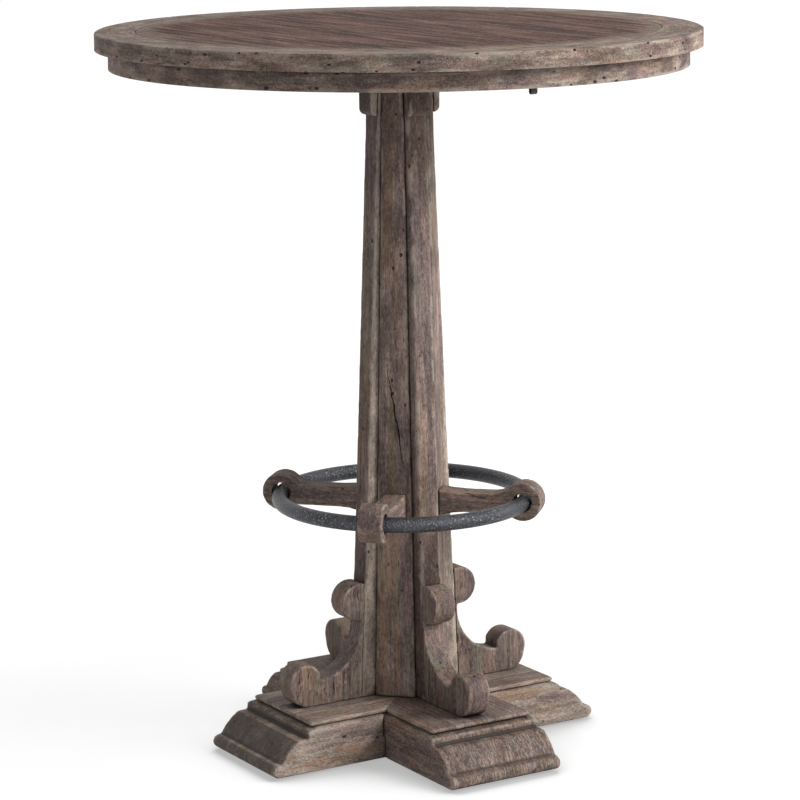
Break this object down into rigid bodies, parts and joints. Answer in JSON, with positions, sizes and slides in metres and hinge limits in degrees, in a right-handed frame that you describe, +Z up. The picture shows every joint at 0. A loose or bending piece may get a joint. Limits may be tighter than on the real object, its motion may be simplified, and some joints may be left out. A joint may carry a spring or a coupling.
{
  "type": "pedestal bar table",
  "caption": "Round bar-height pedestal table with a cross-shaped tapered wooden column, scroll brackets, moulded cross base and an iron foot ring.",
  "frame": {"origin": "on the floor under the middle of the round top", "axes": "+Z up, the four feet point along +X, -X, +Y and -Y, and the boards of the top run along Y"},
  "size_m": [0.88, 0.88, 1.067],
  "materials": {
    "wood_top": "weathered dark stain with pale streaks along the grain",
    "wood_rim": "weathered grey stain, worn pale edges",
    "wood_apron": "weathered grey-brown stain",
    "wood_column": "weathered brown stain, dark glaze in the grooves",
    "wood_bracket": "weathered brown stain with drying cracks",
    "wood_base": "weathered grey-brown stain, dark glaze in the mouldings",
    "wood_plain": "unfinished, hidden inside",
    "iron": "dark hammered finish with worn highlights",
    "steel": "zinc plated",
    "pad": "matte"
  },
  "bodies": {
    "table": {"top_panel": "wood_top", "rim_1": "wood_rim", "rim_2": "wood_rim", "rim_3": "wood_rim", "rim_4": "wood_rim", "rim_5": "wood_rim", "rim_6": "wood_rim", "apron_1": "wood_apron", "apron_2": "wood_apron", "apron_3": "wood_apron", "apron_4": "wood_apron", "apron_5": "wood_apron", "apron_6": "wood_apron", "mounting_block": "wood_plain", "block_screws": "steel", "bag_hook": "iron", "hook_screws": "steel", "column_core": "wood_plain", "wing_right": "wood_column", "wing_back": "wood_column", "wing_left": "wood_column", "wing_front": "wood_column", "post_back_right": "wood_column", "post_back_left": "wood_column", "post_front_left": "wood_column", "post_front_right": "wood_column", "wing_cap_right": "wood_column", "wing_cap_back": "wood_column", "wing_cap_left": "wood_column", "wing_cap_front": "wood_column", "tie_rod": "steel", "rod_nuts": "steel", "rod_washers": "steel", "ring_arm_back_right": "wood_bracket", "ring_arm_back_left": "wood_bracket", "ring_arm_front_left": "wood_bracket", "ring_arm_front_right": "wood_bracket", "arm_dowels": "wood_plain", "foot_ring": "iron", "ring_screws": "steel", "bracket_right": "wood_bracket", "bracket_back": "wood_bracket", "bracket_left": "wood_bracket", "bracket_front": "wood_bracket", "bracket_dowels": "wood_plain", "beam_long": "wood_base", "beam_cross": "wood_base", "lap_screws": "steel", "foot_board_right": "wood_base", "foot_board_back": "wood_base", "foot_board_left": "wood_base", "foot_board_front": "wood_base", "t_nuts": "steel"},
    "leveller_right_body": {"leveller_right": "pad"},
    "leveller_back_body": {"leveller_back": "pad"},
    "leveller_left_body": {"leveller_left": "pad"},
    "leveller_front_body": {"leveller_front": "pad"}
  },
  "joints": [
    {"name": "leveller_right_screw", "type": "slide", "parent": "table", "child": "leveller_right_body", "axis": [0, 0, -1], "range_m": [0, 0.012]},
    {"name": "leveller_back_screw", "type": "slide", "parent": "table", "child": "leveller_back_body", "axis": [0, 0, -1], "range_m": [0, 0.012]},
    {"name": "leveller_left_screw", "type": "slide", "parent": "table", "child": "leveller_left_body", "axis": [0, 0, -1], "range_m": [0, 0.012]},
    {"name": "leveller_front_screw", "type": "slide", "parent": "table", "child": "leveller_front_body", "axis": [0, 0, -1], "range_m": [0, 0.012]}
  ]
}
